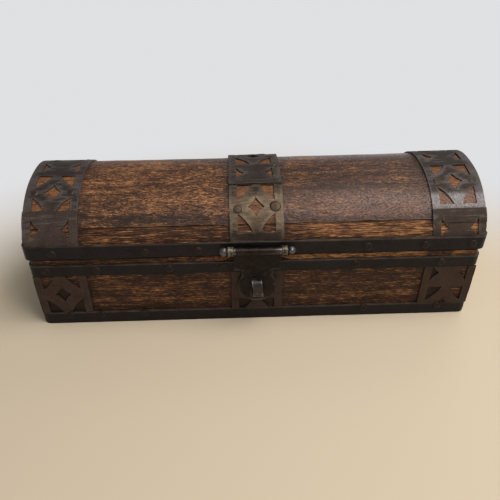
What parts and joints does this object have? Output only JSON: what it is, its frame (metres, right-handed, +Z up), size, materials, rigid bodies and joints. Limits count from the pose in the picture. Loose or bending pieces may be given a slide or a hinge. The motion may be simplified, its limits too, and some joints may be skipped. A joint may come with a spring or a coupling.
{
  "type": "wooden money box",
  "caption": "Long low wooden money box with a domed lid, pierced iron bands, edge straps, a swinging hasp and a staple for a small padlock.",
  "frame": {"origin": "centre of the underside of the bottom board", "axes": "+X along the box to the right as seen from the front, +Y from the front to the back, +Z up"},
  "size_m": [0.2432, 0.0934, 0.0747],
  "materials": {
    "stained_wood": "dark stain over open grain, worn to orange brown on the raised streaks",
    "worn_wood": "stain rubbed thin, orange brown streaks",
    "black_iron": "blackened strap iron, satin, scuffed",
    "brown_iron": "aged sheet iron, brown and mottled",
    "bronzed_iron": "sheet iron with a rubbed bronze colour",
    "dark_iron": "dark plate iron, dull",
    "worn_steel": "grey steel, tarnished, bright where it is handled"
  },
  "bodies": {
    "box": {"bottom_board": "stained_wood", "front_board": "stained_wood", "back_board": "stained_wood", "left_end_board": "stained_wood", "right_end_board": "stained_wood", "foot_strap": "black_iron", "rim_strap": "black_iron", "front_plate_left": "brown_iron", "front_plate_centre": "brown_iron", "front_plate_right": "brown_iron", "back_plate_left": "brown_iron", "back_plate_centre": "brown_iron", "back_plate_right": "brown_iron", "staple": "worn_steel", "foot_strap_nails": "black_iron", "rim_strap_nails": "black_iron", "hinge_leaf_box_left": "dark_iron", "hinge_leaf_box_right": "dark_iron", "hinge_pin_left": "worn_steel", "hinge_pin_right": "worn_steel", "hinge_box_nails": "dark_iron"},
    "lid": {"lid_front_rail": "worn_wood", "lid_back_rail": "worn_wood", "lid_left_end": "stained_wood", "lid_right_end": "stained_wood", "lid_panel": "stained_wood", "lid_strap": "black_iron", "left_band_front": "brown_iron", "left_band_top": "brown_iron", "left_band_back": "brown_iron", "centre_band_front": "bronzed_iron", "centre_band_top": "brown_iron", "centre_band_back": "bronzed_iron", "right_band_front": "brown_iron", "right_band_top": "brown_iron", "right_band_back": "brown_iron", "lid_strap_nails": "black_iron", "band_nails": "brown_iron", "hasp_eye_left": "bronzed_iron", "hasp_eye_right": "bronzed_iron", "hasp_rod": "worn_steel", "hinge_leaf_lid_left": "dark_iron", "hinge_leaf_lid_right": "dark_iron", "hinge_lid_nails": "dark_iron"},
    "hasp": {"hasp": "dark_iron"}
  },
  "joints": [
    {"name": "lid_hinge", "type": "hinge", "parent": "box", "child": "lid", "pos_m": [0, 0.0429, 0.0442], "axis": [-1, 0, 0], "range_deg": [0, 105]},
    {"name": "hasp_hinge", "type": "hinge", "parent": "lid", "child": "hasp", "pos_m": [0, -0.044, 0.0498], "axis": [-1, 0, 0], "range_deg": [0, 200]}
  ]
}
